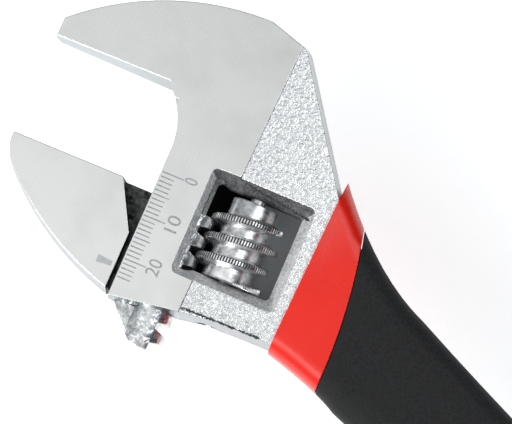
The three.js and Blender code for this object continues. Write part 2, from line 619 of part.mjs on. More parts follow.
/** Everything behind the curved joint of collar and cover; gap moves it towards the handle's end. */
function behindJoint(gap) {
  const lowest = COLLAR_FRONT - COLLAR_RAKE / 2 + COLLAR_LENGTH + gap;
  const spread = 0.6;
  const arcEnd = lowest - COLLAR_ARC * (1 - Math.cos(spread));
  const shape = new THREE.Shape();
  shape.moveTo(REACH, REACH);
  shape.lineTo(arcEnd, REACH);
  shape.absarc(lowest - COLLAR_ARC, 1 - HEAD_LOW_REAR, COLLAR_ARC, spread, -spread, true);
  shape.lineTo(arcEnd, -REACH);
  shape.lineTo(REACH, -REACH);
  return plate(shape, REACH, 40);
}

/** Outer form of the grip. */
function gripForm() {
  return moulding(gripOutline(), GRIP_HALF, GRIP_EDGE_WIDE, GRIP_EDGE_HIGH).intersect(behindCollarFront());
}

/** Outer form of the core where the cover lies over it; grow leaves clearance for it in the cover. */
function coreForm(grow) {
  const wall = COVER_WALL - grow;
  return moulding(gripOutline(), GRIP_HALF - wall, GRIP_EDGE_WIDE - 1, GRIP_EDGE_HIGH - 1.5, wall);
}

function makeGripCore() {
  const hole = onHandle(EYE_U, GRIP_AXIS);
  const collar = gripForm().subtract(behindJoint(0));
  const sleeve = coreForm(0).intersect(behindCollarFront());
  const steel = bodyBlank(CORE_GAP).subtract(rodAlongZ(EYE_RADIUS - CORE_GAP, hole, REACH));
  const rim = rodAlongZ(HANG_RIM_RADIUS - CORE_GAP, hole, GRIP_HALF - 0.5);
  return collar.add(sleeve).add(rim).subtract(steel).subtract(rodAlongZ(HANG_HOLE_RADIUS, hole, REACH));
}

function makeGripCover() {
  const hole = rodAlongZ(HANG_RIM_RADIUS, onHandle(EYE_U, GRIP_AXIS), REACH);
  return gripForm().intersect(behindJoint(CORE_GAP)).subtract(coreForm(CORE_GAP)).subtract(hole);
}

// ---------------------------------------------------------------- finishes and assembly

const CHROME = { color: 0xc9cbcb, roughness: 0.32, metalness: 1 };
const BRIGHT_CHROME = { color: 0xdedfe0, roughness: 0.15, metalness: 1 };
const STEEL = { color: 0x9a9c9f, roughness: 0.35, metalness: 1 };
const RED_PLASTIC = { color: 0xf3371c, roughness: 0.28, metalness: 0 };
const BLACK_RUBBER = { color: 0x2a2a2a, roughness: 0.85, metalness: 0 };

/** One named piece. */
function piece(name, body, finish) {
  const mesh = new THREE.Mesh(surfaceOf(body), new THREE.MeshStandardMaterial(finish));
  mesh.name = name;
  return mesh;
}

const wrench = new THREE.Group();
wrench.name = 'adjustable_wrench';
wrench.add(
  piece('body', makeBody(), CHROME),
  piece('movable_jaw', makeMovableJaw(), CHROME),
  piece('worm', makeWorm(), BRIGHT_CHROME),
  piece('worm_pin', makeWormPin(), STEEL),
  piece('worm_spring', makeWormSpring(), STEEL),
  piece('grip_core', makeGripCore(), RED_PLASTIC),
  piece('grip_cover', makeGripCover(), BLACK_RUBBER),
);

// The origin is under the middle of the wrench as it lies flat.
const bounds = new THREE.Box3().setFromObject(wrench);
const middle = bounds.getCenter(new THREE.Vector3());
wrench.position.set(-middle.x, -middle.y, -bounds.min.z);

export default wrench;
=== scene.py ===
"""Looks of an adjustable wrench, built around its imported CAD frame.

Lengths in the classes are millimetres in the head's own frame: x runs from the scale edge towards the
handle, y from the movable jaw towards the fixed jaw's face, and z up from the middle of the thickness.
"""

import logging
import math
import random
from dataclasses import dataclass, replace
from enum import Enum
from typing import Callable

import bmesh
import bpy
from mathutils import Matrix, Vector


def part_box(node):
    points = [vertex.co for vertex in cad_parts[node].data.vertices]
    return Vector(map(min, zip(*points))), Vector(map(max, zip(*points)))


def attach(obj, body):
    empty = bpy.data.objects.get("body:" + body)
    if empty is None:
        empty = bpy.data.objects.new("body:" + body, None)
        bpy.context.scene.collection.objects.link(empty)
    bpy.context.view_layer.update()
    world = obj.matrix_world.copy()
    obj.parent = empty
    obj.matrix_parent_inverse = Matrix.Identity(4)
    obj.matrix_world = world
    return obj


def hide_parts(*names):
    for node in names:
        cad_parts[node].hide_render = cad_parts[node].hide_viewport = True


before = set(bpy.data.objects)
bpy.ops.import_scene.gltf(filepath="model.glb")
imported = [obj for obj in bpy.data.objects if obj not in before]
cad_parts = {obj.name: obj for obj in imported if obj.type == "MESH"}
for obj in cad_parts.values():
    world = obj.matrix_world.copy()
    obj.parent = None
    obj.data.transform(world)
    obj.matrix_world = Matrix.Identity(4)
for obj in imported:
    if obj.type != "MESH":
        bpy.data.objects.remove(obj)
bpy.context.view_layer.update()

MM = 0.001
WELD_MM = 0.002
FLAT_DEGREES = 0.6
# A face lies flat when its normal's z is beyond LEVEL, and looks down the head, away from the fixed
# jaw, when its normal's y is below FACES_DOWN.
LEVEL = 0.98
FACES_DOWN = -0.3
LOG = logging.getLogger("wrench")
Point = tuple[float, float]


class Body(Enum):
    """The CAD bodies that pieces ride on."""

    FRAME = "frame"
    WORM = "worm"
    JAW = "movable_jaw"


class Slot(Enum):
    """The record's material slots."""

    FORGING = "forging_chrome"
    WORM = "worm_chrome"
    PIN = "pin_steel"
    SPRING = "spring_steel"
    CORE = "core_plastic"
    COVER = "cover_rubber"


# ---------------------------------------------------------------- finishes


def linear(hex_colour: str) -> tuple[float, float, float, float]:
    """Turns an sRGB hex colour into linear light.

    Args:
        hex_colour: Six hex digits after a hash.

    Returns:
        Linear red, green, blue and alpha.
    """
    parts = [int(hex_colour[i : i + 2], 16) / 255 for i in (1, 3, 5)]
    light = [c / 12.92 if c <= 0.04045 else ((c + 0.055) / 1.055) ** 2.4 for c in parts]
    return (light[0], light[1], light[2], 1.0)


def add_node(
    tree: bpy.types.NodeTree,
    kind: str,
    settings: dict | None = None,
    values: dict | None = None,
    links: dict | None = None,
) -> bpy.types.Node:
    """Adds a node with its settings, socket values and links.

    Args:
        tree: The node tree.
        kind: The node's type name.
        settings: Properties of the node.
        values: Input socket to a fixed value.
        links: Input socket to the output socket that feeds it.

    Returns:
        The new node.
    """
    node = tree.nodes.new(kind)
    for name, value in (settings or {}).items():
        setattr(node, name, value)
    for name, value in (values or {}).items():
        node.inputs[name].default_value = value
    for name, socket in (links or {}).items():
        tree.links.new(socket, node.inputs[name])
    return node


@dataclass(frozen=True)
class Grain:
    """One layer of surface texture.

    size_mm is the spacing of its features and stretch draws them out along each axis. height_mm is how
    high they stand, and the swings say how far roughness and colour follow them.
    """

    size_mm: float
    height_mm: float = 0.0
    stretch: tuple[float, float, float] = (1.0, 1.0, 1.0)
    roughness_swing: float = 0.0
    tint: float = 0.0
    detail: float = 2.0


@dataclass(frozen=True)
class Finish:
    """A real material and how its surface was made.

    deep_colour fills the grains' hollows, and edge_mm rounds the shading at edges. The colour turns to
    far_colour between near_mm and far_mm from the object's origin. glow is light that it gives off.
    """

    name: str
    colour: str
    deep_colour: str
    metallic: float
    roughness: float
    grains: tuple[Grain, ...]
    edge_mm: float = 0.0
    ior: float = 1.45
    far_colour: str | None = None
    near_mm: float = 0.0
    far_mm: float = 0.0
    glow: float = 0.0

    def material(self) -> bpy.types.Material:
        """Builds the material once and returns it.

        Returns:
            The Blender material.
        """
        known = bpy.data.materials.get(self.name)
        if known:
            return known
        material = bpy.data.materials.new(self.name)
        material.use_nodes = True
        tree = material.node_tree
        tree.nodes.clear()
        place = add_node(tree, "ShaderNodeTexCoord")
        waves = [self._wave(tree, place, grain) for grain in self.grains]
        values = {"Metallic": self.metallic}
        if self.metallic < 1:
            values["IOR"] = self.ior
        colour = self._colour(tree, waves)
        if self.far_colour:
            colour = self._fade(tree, place, colour)
        links = {"Base Color": colour}
        if any(grain.roughness_swing for grain in self.grains):
            links["Roughness"] = self._roughness(tree, waves)
        else:
            values["Roughness"] = self.roughness
        normal = self._normal(tree, waves)
        if normal is not None:
            links["Normal"] = normal
        if self.glow:
            values["Emission Strength"] = self.glow
            links["Emission Color"] = colour
        shader = add_node(tree, "ShaderNodeBsdfPrincipled", values=values, links=links)
        links = {"Surface": shader.outputs["BSDF"]}
        add_node(tree, "ShaderNodeOutputMaterial", links=links)
        return material

    def _wave(
        self, tree: bpy.types.NodeTree, place: bpy.types.Node, grain: Grain
    ) -> bpy.types.NodeSocket:
        """Adds the noise of one layer.

        Args:
            tree: The node tree.
            place: The texture coordinates.
            grain: The layer.

        Returns:
            The socket of its height from 0 to 1.
        """
        scale = [1 / (grain.size_mm * MM * s) for s in grain.stretch]
        mapping = add_node(
            tree,
            "ShaderNodeMapping",
            values={"Scale": scale},
            links={"Vector": place.outputs["Object"]},
        )
        noise = add_node(
            tree,
            "ShaderNodeTexNoise",
            values={"Scale": 1.0, "Detail": grain.detail, "Roughness": 0.6},
            links={"Vector": mapping.outputs["Vector"]},
        )
        return noise.outputs["Fac"]

    def _colour(
        self, tree: bpy.types.NodeTree, waves: list[bpy.types.NodeSocket]
    ) -> bpy.types.NodeSocket:
        """Mixes the deep colour into the hollows of each tinting layer.

        Args:
            tree: The node tree.
            waves: The layers' heights.

        Returns:
            The colour socket.
        """
        colour = add_node(tree, "ShaderNodeRGB").outputs[0]
        colour.default_value = linear(self.colour)
        for grain, wave in zip(self.grains, waves):
            if not grain.tint:
                continue
            share = add_node(
                tree,
                "ShaderNodeMapRange",
                values={"From Min": 0.35, "From Max": 0.6, "To Min": grain.tint, "To Max": 0.0},
                links={"Value": wave},
            )
            mix = add_node(
                tree,
                "ShaderNodeMixRGB",
                values={"Color2": linear(self.deep_colour)},
                links={"Fac": share.outputs[0], "Color1": colour},
            )
            colour = mix.outputs[0]
        return colour

    def _fade(
        self, tree: bpy.types.NodeTree, place: bpy.types.Node, colour: bpy.types.NodeSocket
    ) -> bpy.types.NodeSocket:
        """Turns the colour to the far colour with the distance from the object's origin.

        Args:
            tree: The node tree.
            place: The texture coordinates.
            colour: The near colour.

        Returns:
            The colour socket.
        """
        links = {0: place.outputs["Object"]}
        reach = add_node(tree, "ShaderNodeVectorMath", {"operation": "LENGTH"}, links=links)
        share = add_node(
            tree,
            "ShaderNodeMapRange",
            values={"From Min": self.near_mm * MM, "From Max": self.far_mm * MM},
            links={"Value": reach.outputs["Value"]},
        )
        mix = add_node(
            tree,
            "ShaderNodeMixRGB",
            values={"Color2": linear(self.far_colour)},
            links={"Fac": share.outputs[0], "Color1": colour},
        )
        return mix.outputs[0]

    def _roughness(
        self, tree: bpy.types.NodeTree, waves: list[bpy.types.NodeSocket]
    ) -> bpy.types.NodeSocket:
        """Adds each layer's swing to the base roughness.

        Args:
            tree: The node tree.
            waves: The layers' heights.

        Returns:
            The roughness socket.
        """
        total = add_node(tree, "ShaderNodeValue").outputs[0]
        total.default_value = self.roughness
        for grain, wave in zip(self.grains, waves):
            if not grain.roughness_swing:
                continue
            swing = grain.roughness_swing
            part = add_node(
                tree,
                "ShaderNodeMapRange",
                values={"From Min": 0.3, "From Max": 0.7, "To Min": -swing, "To Max": swing},
                links={"Value": wave},
            )
            links = {0: total, 1: part.outputs[0]}
            total = add_node(tree, "ShaderNodeMath", {"use_clamp": True}, links=links).outputs[0]
        return total

    def _normal(
        self, tree: bpy.types.NodeTree, waves: list[bpy.types.NodeSocket]
    ) -> bpy.types.NodeSocket | None:
        """Stacks the layers' bumps on an edge that is slightly rounded.

        Args:
            tree: The node tree.
            waves: The layers' heights.

        Returns:
            The normal socket, or nothing where the surface is plain.
        """
        normal = None
        if self.edge_mm:
            values = {"Radius": self.edge_mm * MM}
            normal = add_node(tree, "ShaderNodeBevel", {"samples": 6}, values).outputs[0]
        for grain, wave in zip(self.grains, waves):
            if not grain.height_mm:
                continue
            links = {"Height": wave}
            if normal is not None:
                links["Normal"] = normal
            values = {"Strength": 1.0, "Distance": grain.height_mm * MM}
            normal = add_node(tree, "ShaderNodeBump", values=values, links=links).outputs[0]
        return normal


# Chrome plate over belt-ground steel: an even silvery face with lines from the belt too fine to see.
GROUND_CHROME = Finish(
    name="chrome_on_ground_steel",
    colour="#eeefed",
    deep_colour="#dbdcda",
    metallic=1.0,
    roughness=0.27,
    grains=(
        Grain(size_mm=11.0, roughness_swing=0.02, tint=0.4),
        Grain(size_mm=0.12, height_mm=0.0004, stretch=(1.0, 60.0, 1.0), roughness_swing=0.02, detail=3.0),
    ),
    edge_mm=0.3,
)

# Chrome plate over the shot-blasted skin of a drop forging: a bright pebbled skin. Its grit is 0.3 mm,
# drawn as 0.6 mm so that it shows.
CAST_CHROME = Finish(
    name="chrome_on_blasted_forging",
    colour="#f4f5f6",
    deep_colour="#9a9ea1",
    metallic=1.0,
    roughness=0.24,
    grains=(
        Grain(size_mm=1.6, height_mm=0.12, roughness_swing=0.04),
        Grain(size_mm=0.6, height_mm=0.19, roughness_swing=0.06, tint=0.35, detail=2.0),
    ),
    edge_mm=0.45,
)

# Chrome plate over milled and trimmed sides: smoother than the skin, and a little bluer. It is darker
# than real chrome because it mirrors the light table, which is brighter than a real table top.
SIDE_CHROME = Finish(
    name="chrome_on_milled_sides",
    colour="#9ea8ac",
    deep_colour="#717b7f",
    metallic=1.0,
    roughness=0.22,
    grains=(
        Grain(size_mm=3.0, height_mm=0.06, tint=0.45, roughness_swing=0.05),
        Grain(size_mm=0.5, height_mm=0.02, tint=0.25),
    ),
    edge_mm=0.4,
)

# Pale dust over the skin down in the window, where the blast hardly reached: dull and mottled.
PALE_DUST = Finish(
    name="dust_on_unblasted_forging",
    colour="#fdfdfd",
    deep_colour="#96999b",
    metallic=0.0,
    roughness=0.5,
    grains=(
        Grain(size_mm=0.5, height_mm=0.10, roughness_swing=0.08, tint=0.8, detail=3.0),
        Grain(size_mm=2.5, height_mm=0.04, tint=0.4),
    ),
    edge_mm=0.3,
)

# A darker copy of the same dust for the window's upper wall, which faces down: its darker colour and
# nearly black patches are painted shade.
DUST_WITH_PAINTED_SHADE = replace(
    PALE_DUST, name="dust_with_painted_shade_on_unblasted_forging", colour="#868889", deep_colour="#1e1f20"
)

# Milled steel that the plate didn't cover, on the web down between the jaw's sides: dark, with near-black
# blotches.
DARK_STEEL = Finish(
    name="dark_blotched_milled_steel",
    colour="#626262",
    deep_colour="#0b0b0c",
    metallic=1.0,
    roughness=0.42,
    grains=(
        Grain(size_mm=2.2, height_mm=0.12, tint=0.95, roughness_swing=0.1),
        Grain(size_mm=0.5, height_mm=0.06, tint=0.5, detail=3.0),
    ),
    edge_mm=0.15,
)

# Chrome plate over turned and knurled steel: bright, with turning lines 0.2 mm apart.
BRIGHT_CHROME = Finish(
    name="chrome_on_turned_steel",
    colour="#fdfdfd",
    deep_colour="#77797b",
    metallic=1.0,
    roughness=0.3,
    grains=(
        Grain(size_mm=1.6, height_mm=0.03, tint=0.6, roughness_swing=0.05),
        Grain(size_mm=0.2, height_mm=0.004, stretch=(30.0, 1.0, 30.0), roughness_swing=0.04),
    ),
)

# The knurl's grooves, dull dark grey beside the bright ridges: painted shade.
KNURL_GROOVE_SHADE = Finish(
    name="knurl_groove_painted_shade",
    colour="#4a4b4c",
    deep_colour="#1c1c1d",
    metallic=0.0,
    roughness=0.5,
    grains=(Grain(size_mm=0.3, height_mm=0.01, tint=0.6, roughness_swing=0.1),),
)

# Chrome plate over a rough-milled rail end: smooth but wavy, so it mirrors light and dark in patches.
RAIL_CHROME = Finish(
    name="chrome_on_milled_rail",
    colour="#f6f7f8",
    deep_colour="#5d6062",
    metallic=1.0,
    roughness=0.3,
    grains=(
        Grain(size_mm=2.0, height_mm=0.35, tint=0.4, roughness_swing=0.06),
        Grain(size_mm=0.6, height_mm=0.04, tint=0.3),
    ),
    edge_mm=0.35,
)

# Turned steel with a clear zinc plate: greyer and duller than the chrome.
ZINC_STEEL = Finish(
    name="zinc_plated_turned_steel",
    colour="#d9dbdd",
    deep_colour="#9a9da0",
    metallic=1.0,
    roughness=0.26,
    grains=(
        Grain(size_mm=0.15, height_mm=0.003, stretch=(30.0, 1.0, 30.0), roughness_swing=0.06),
        Grain(size_mm=1.2, tint=0.5),
    ),
    edge_mm=0.2,
)

# Drawn music wire with its dark drawing skin.
SPRING_WIRE = Finish(
    name="drawn_spring_wire",
    colour="#77797c",
    deep_colour="#4b4d50",
    metallic=1.0,
    roughness=0.35,
    grains=(Grain(size_mm=0.4, height_mm=0.002, tint=0.4, roughness_swing=0.08),),
)

# Laser-etched marks: an oxide that is grey and dull against the chrome.
ETCHED_MARK = Finish(
    name="laser_etched_oxide",
    colour="#b0b2b3",
    deep_colour="#8c8f92",
    metallic=0.5,
    roughness=0.6,
    grains=(Grain(size_mm=0.5, tint=0.8, roughness_swing=0.1),),
)

# The same etching, fainter, on the movable jaw.
FAINT_MARK = replace(ETCHED_MARK, name="faint_etched_oxide", colour="#c2c4c6", deep_colour="#a8abad")

# Dark ragged lines along the window's upper rim and the head's lower edge: painted shade at these edges.
PAINTED_EDGE_SHADE = Finish(
    name="painted_edge_shade",
    colour="#4e5050",
    deep_colour="#161617",
    metallic=0.4,
    roughness=0.7,
    grains=(Grain(size_mm=0.4, height_mm=0.03, tint=0.9),),
)

# Injection-moulded polypropylene: glossy, with the faint waviness of a thick moulding.
RED_POLYPROPYLENE = Finish(
    name="moulded_red_polypropylene",
    colour="#f01c02",
    deep_colour="#e61801",
    metallic=0.0,
    roughness=0.3,
    grains=(
        Grain(size_mm=7.0, height_mm=0.03, tint=0.5),
        Grain(size_mm=0.8, height_mm=0.004, roughness_swing=0.04),
    ),
    edge_mm=0.35,
    ior=1.49,
)

# Injection-moulded thermoplastic rubber from a spark-eroded mould: matte, with a fine even grain.
# The mould's grain is 0.1 mm, drawn as 0.55 mm so that it shows.
BLACK_RUBBER = Finish(
    name="moulded_black_rubber",
    colour="#242425",
    deep_colour="#020203",
    metallic=0.0,
    roughness=0.8,
    grains=(
        Grain(size_mm=6.0, height_mm=0.02, tint=0.3, roughness_swing=0.05),
        Grain(size_mm=0.55, height_mm=0.09, tint=0.9, roughness_swing=0.1),
    ),
    edge_mm=0.3,
)

# Felt under the head's window: a mid grey without any gloss.
GREY_FELT = Finish(
    name="grey_felt",
    colour="#c4cacd",
    deep_colour="#bbc0c4",
    metallic=0.0,
    roughness=1.0,
    grains=(Grain(size_mm=0.6, height_mm=0.02, tint=0.3),),
    ior=1.3,
)

# Black felt beside it, under the rack and the worm's left side, where they shade the window: a painted
# shadow.
SHADOW_FELT = Finish(
    name="black_felt_painted_shadow",
    colour="#0c0c0d",
    deep_colour="#070707",
    metallic=0.0,
    roughness=1.0,
    grains=(Grain(size_mm=0.6, height_mm=0.02, tint=0.3),),
    ior=1.3,
)

# Matte white paper on a light table: lit from below so that shadows stay faint. Its colour greys away
# from the head, a painted falloff of the light.
WHITE_PAPER = Finish(
    name="matte_white_paper",
    colour="#fdfdfd",
    deep_colour="#f8f8f8",
    metallic=0.0,
    roughness=0.9,
    grains=(Grain(size_mm=3.0, tint=0.3),),
    ior=1.4,
    far_colour="#b4b7b9",
    near_mm=90.0,
    far_mm=330.0,
    glow=0.45,
)


# ---------------------------------------------------------------- places and meshes


@dataclass(frozen=True)
class HeadFrame:
    """The head's own frame in the row frame: its origin, in metres."""

    origin: Vector

    @classmethod
    def from_worm(cls, worm_axis: float = 21.0, worm_top: float = -17.0) -> "HeadFrame":
        """Finds the frame from the CAD worm.

        Args:
            worm_axis: The worm's axis behind the scale edge.
            worm_top: Its upper end from the fixed jaw's face.

        Returns:
            The head frame.
        """
        low, high = (Vector(corner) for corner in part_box("worm"))
        middle = (low + high) / 2
        return cls(Vector((middle.x - worm_axis * MM, high.y - worm_top * MM, middle.z)))

    def at(self, x: float, y: float, z: float = 0.0) -> Vector:
        """Turns head millimetres into row metres.

        Args:
            x: From the scale edge towards the handle.
            y: From the fixed jaw's face, up.
            z: From the middle of the thickness.

        Returns:
            The point in the row frame.
        """
        return self.origin + Vector((x, y, z)) * MM

    def back(self, point: Vector) -> Vector:
        """Turns a point in row metres into head millimetres."""
        return (point - self.origin) / MM


def new_object(name: str, mesh: bpy.types.Mesh) -> bpy.types.Object:
    """Puts a mesh in the scene.

    Args:
        name: The piece's name.
        mesh: Its mesh.

    Returns:
        The new object.
    """
    made = bpy.data.objects.new(name, mesh)
    bpy.context.scene.collection.objects.link(made)
    return made


def mesh_of(name: str, points: list[Vector], faces: list[list[int]]) -> bpy.types.Mesh:
    """Makes a mesh from points in row metres and faces with outward winding.

    Args:
        name: The mesh's name.
        points: Its vertices.
        faces: Its faces as lists of vertex numbers.

    Returns:
        The mesh.
    """
    mesh = bpy.data.meshes.new(name)
    mesh.from_pydata(points, [], faces)
    built = bmesh.new()
    built.from_mesh(mesh)
    bmesh.ops.recalc_face_normals(built, faces=built.faces)
    built.to_mesh(mesh)
    built.free()
    return mesh


def ring_faces(rings: int, sides: int, closed_ends: bool = True) -> list[list[int]]:
    """Joins rings of points into a skin.

    Args:
        rings: How many rings.
        sides: Points in each ring.
        closed_ends: Whether the first and last ring are filled.

    Returns:
        The faces.
    """
    faces = []
    for ring in range(rings - 1):
        for side in range(sides):
            turn = (side + 1) % sides
            low, high = ring * sides, (ring + 1) * sides
            faces.append([low + side, low + turn, high + turn, high + side])
    if closed_ends:
        faces.append(list(range(sides))[::-1])
        faces.append([(rings - 1) * sides + side for side in range(sides)])
    return faces


def turned(
    place: HeadFrame, name: str, axis_x: float, profile: list[Point], sides: int
) -> bpy.types.Mesh:
    """Turns a profile about an axis along Y.

    Args:
        place: The head frame.
        name: The mesh's name.
        axis_x: The axis's x.
        profile: Closed outline of (radius, y) points.
        sides: Sides of a full circle.

    Returns:
        The mesh.
    """
    count = len(profile)
    points = []
    for side in range(sides):
        angle = math.tau * side / sides
        for radius, y in profile:
            points.append(place.at(axis_x + radius * math.sin(angle), y, radius * math.cos(angle)))
    faces = ring_faces(sides, count, closed_ends=False)
    last = (sides - 1) * count
    for k in range(count):
        follow = (k + 1) % count
        faces.append([last + k, last + follow, follow, k])
    return mesh_of(name, points, faces)


def smooth_by_angle(piece: bpy.types.Object, degrees: float) -> None:
    """Shades a piece smooth except across edges sharper than the angle.

    Args:
        piece: The piece.
        degrees: The sharpest angle that is still smooth.
    """
    mesh = piece.data
    mesh.shade_smooth()
    built = bmesh.new()
    built.from_mesh(mesh)
    limit = math.radians(degrees)
    for edge in built.edges:
        edge.smooth = len(edge.link_faces) == 2 and edge.calc_face_angle(0.0) < limit
    built.to_mesh(mesh)
    built.free()


def cad_copy(node: str, name: str) -> bpy.types.Object:
    """Copies a CAD node's mesh into a new object whose flat faces are whole again.

    Args:
        node: The CAD node.
        name: The new piece's name.

    Returns:
        The new piece.
    """
    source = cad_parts[node]
    built = bmesh.new()
    built.from_mesh(source.data)
    bmesh.ops.remove_doubles(built, verts=built.verts, dist=WELD_MM * MM)
    bmesh.ops.dissolve_limit(
        built, angle_limit=math.radians(FLAT_DEGREES), verts=built.verts, edges=built.edges
    )
    mesh = bpy.data.meshes.new(name)
    built.to_mesh(mesh)
    built.free()
    return new_object(name, mesh)


def join_meshes(name: str, meshes: list[bpy.types.Mesh]) -> bpy.types.Mesh:
    """Joins meshes into one and removes the parts.

    Args:
        name: The new mesh's name.
        meshes: Its parts.

    Returns:
        The joined mesh.
    """
    built = bmesh.new()
    for mesh in meshes:
        built.from_mesh(mesh)
        bpy.data.meshes.remove(mesh)
    joined = bpy.data.meshes.new(name)
    built.to_mesh(joined)
    built.free()
    return joined


def split_across(piece: bpy.types.Object, point: Vector) -> None:
    """Cuts a piece's faces, without opening them, where a plane of constant Y crosses them.

    Args:
        piece: The piece.
        point: A point of the plane.
    """
    built = bmesh.new()
    built.from_mesh(piece.data)
    whole = list(built.verts) + list(built.edges) + list(built.faces)
    bmesh.ops.bisect_plane(built, geom=whole, dist=WELD_MM / 2 * MM, plane_co=point, plane_no=(0, 1, 0))
    built.to_mesh(piece.data)
    built.free()


def apply_modifiers(piece: bpy.types.Object) -> None:
    """Puts a piece's modifiers into its mesh.

    Args:
        piece: The piece.
    """
    shown = piece.evaluated_get(bpy.context.evaluated_depsgraph_get())
    mesh = bpy.data.meshes.new_from_object(shown)
    piece.modifiers.clear()
    piece.data = mesh


def dress(
    piece: bpy.types.Object,
    finishes: list[Finish],
    choose: Callable[[Vector, Vector], Finish] | None = None,
) -> None:
    """Gives a piece its materials, face by face where it has more than one.

    Args:
        piece: The piece.
        finishes: Its finishes.
        choose: From a face's centre and normal, in row metres, to its finish.
    """
    piece.data.materials.clear()
    for finish in finishes:
        piece.data.materials.append(finish.material())
    if choose is None:
        return
    for face in piece.data.polygons:
        face.material_index = finishes.index(choose(face.center, face.normal))


def settle(piece: bpy.types.Object, body: Body, replaced: str | None = None) -> None:
    """Ties a piece to its CAD body and the node that it stands for.

    Args:
        piece: The piece.
        body: The body it rides on.
        replaced: The CAD node it replaces.
    """
    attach(piece, body.value)
    if replaced:
        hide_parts(replaced)
    LOG.info("%s on %s: %d faces", piece.name, body.value, len(piece.data.polygons))


# ---------------------------------------------------------------- head


@dataclass
class Head:
    """The forging: fixed jaw, head, window and neck."""

    place: HeadFrame
    ground_end_top: float = 17.2
    ground_end_low: float = 15.1
    top_corner: float = 18.2
    low_rear: float = -44.3
    window: tuple[float, float, float, float] = (9.8, 33.6, -37.6, -13.4)
    cast_half: float = 7.6
    proud: float = 0.012
    margin: float = 0.02
    smooth_degrees: float = 28.0
    line_steps: int = 90
    # Dark ragged lines of painted shade, along the head's lower edge and the window's upper rim.
    shade_lines: tuple[tuple[Point, Point, float], ...] = (
        ((15.4, -43.45), (33.0, -43.1), 0.42),
        ((17.4, -14.2), (33.0, -16.4), 0.45),
    )

    def ragged_line(self, start: Point, end: Point, width: float) -> bpy.types.Mesh:
        """Makes a thin ragged dark line on the cast face: painted shade along an edge.

        Args:
            start: One end in head millimetres.
            end: The other end.
            width: Its mean width.

        Returns:
            The mesh.
        """
        chance = random.Random(7)
        ahead = (Vector(end) - Vector(start)).normalized()
        points = []
        for step in range(self.line_steps + 1):
            middle = Vector(start).lerp(Vector(end), step / self.line_steps)
            sides = [width * chance.uniform(0.1, 0.9) * turn for turn in (-1, 1)]
            for side, lift in ((0, -1), (1, -1), (1, 1), (0, 1)):
                x = middle.x - ahead.y * sides[side]
                y = middle.y + ahead.x * sides[side]
                points.append(self.place.at(x, y, self.cast_half + lift * self.proud))
        return mesh_of("painted_edge_shade", points, ring_faces(self.line_steps + 1, 4))

    def ground_end(self, y: float) -> float:
        """Gives x where the ground faces end at the height y, in millimetres."""
        share = (y - self.low_rear) / (self.top_corner - self.low_rear)
        return self.ground_end_low + share * (self.ground_end_top - self.ground_end_low)

    def choose(self, centre: Vector, normal: Vector) -> Finish:
        """Picks the finish of one face.

        Args:
            centre: The face's centre in row metres.
            normal: Its normal.

        Returns:
            Its finish: ground, cast, the window's walls with a darker copy for the upper one that paints
                its shade, or the sides.
        """
        spot = self.place.back(centre)
        left, right, low, high = self.window
        if abs(normal.z) > LEVEL:
            ground = spot.x < self.ground_end(spot.y) - self.margin
            return GROUND_CHROME if ground else CAST_CHROME
        if left < spot.x < right and low < spot.y < high:
            # Faces that look down get the darker copy: painted shade.
            return DUST_WITH_PAINTED_SHADE if normal.y < FACES_DOWN else PALE_DUST
        return SIDE_CHROME

    def build(self) -> None:
        """Builds the forging."""
        piece = cad_copy("body", "forged_head")
        finishes = [GROUND_CHROME, CAST_CHROME, PALE_DUST, DUST_WITH_PAINTED_SHADE, SIDE_CHROME]
        dress(piece, finishes, self.choose)
        smooth_by_angle(piece, self.smooth_degrees)
        settle(piece, Body.FRAME, "body")
        # The ragged dark lines are painted shade along the edges.
        for number, (start, end, width) in enumerate(self.shade_lines):
            line = new_object(f"painted_edge_shade_{number}", self.ragged_line(start, end, width))
            dress(line, [PAINTED_EDGE_SHADE])
            settle(line, Body.FRAME)


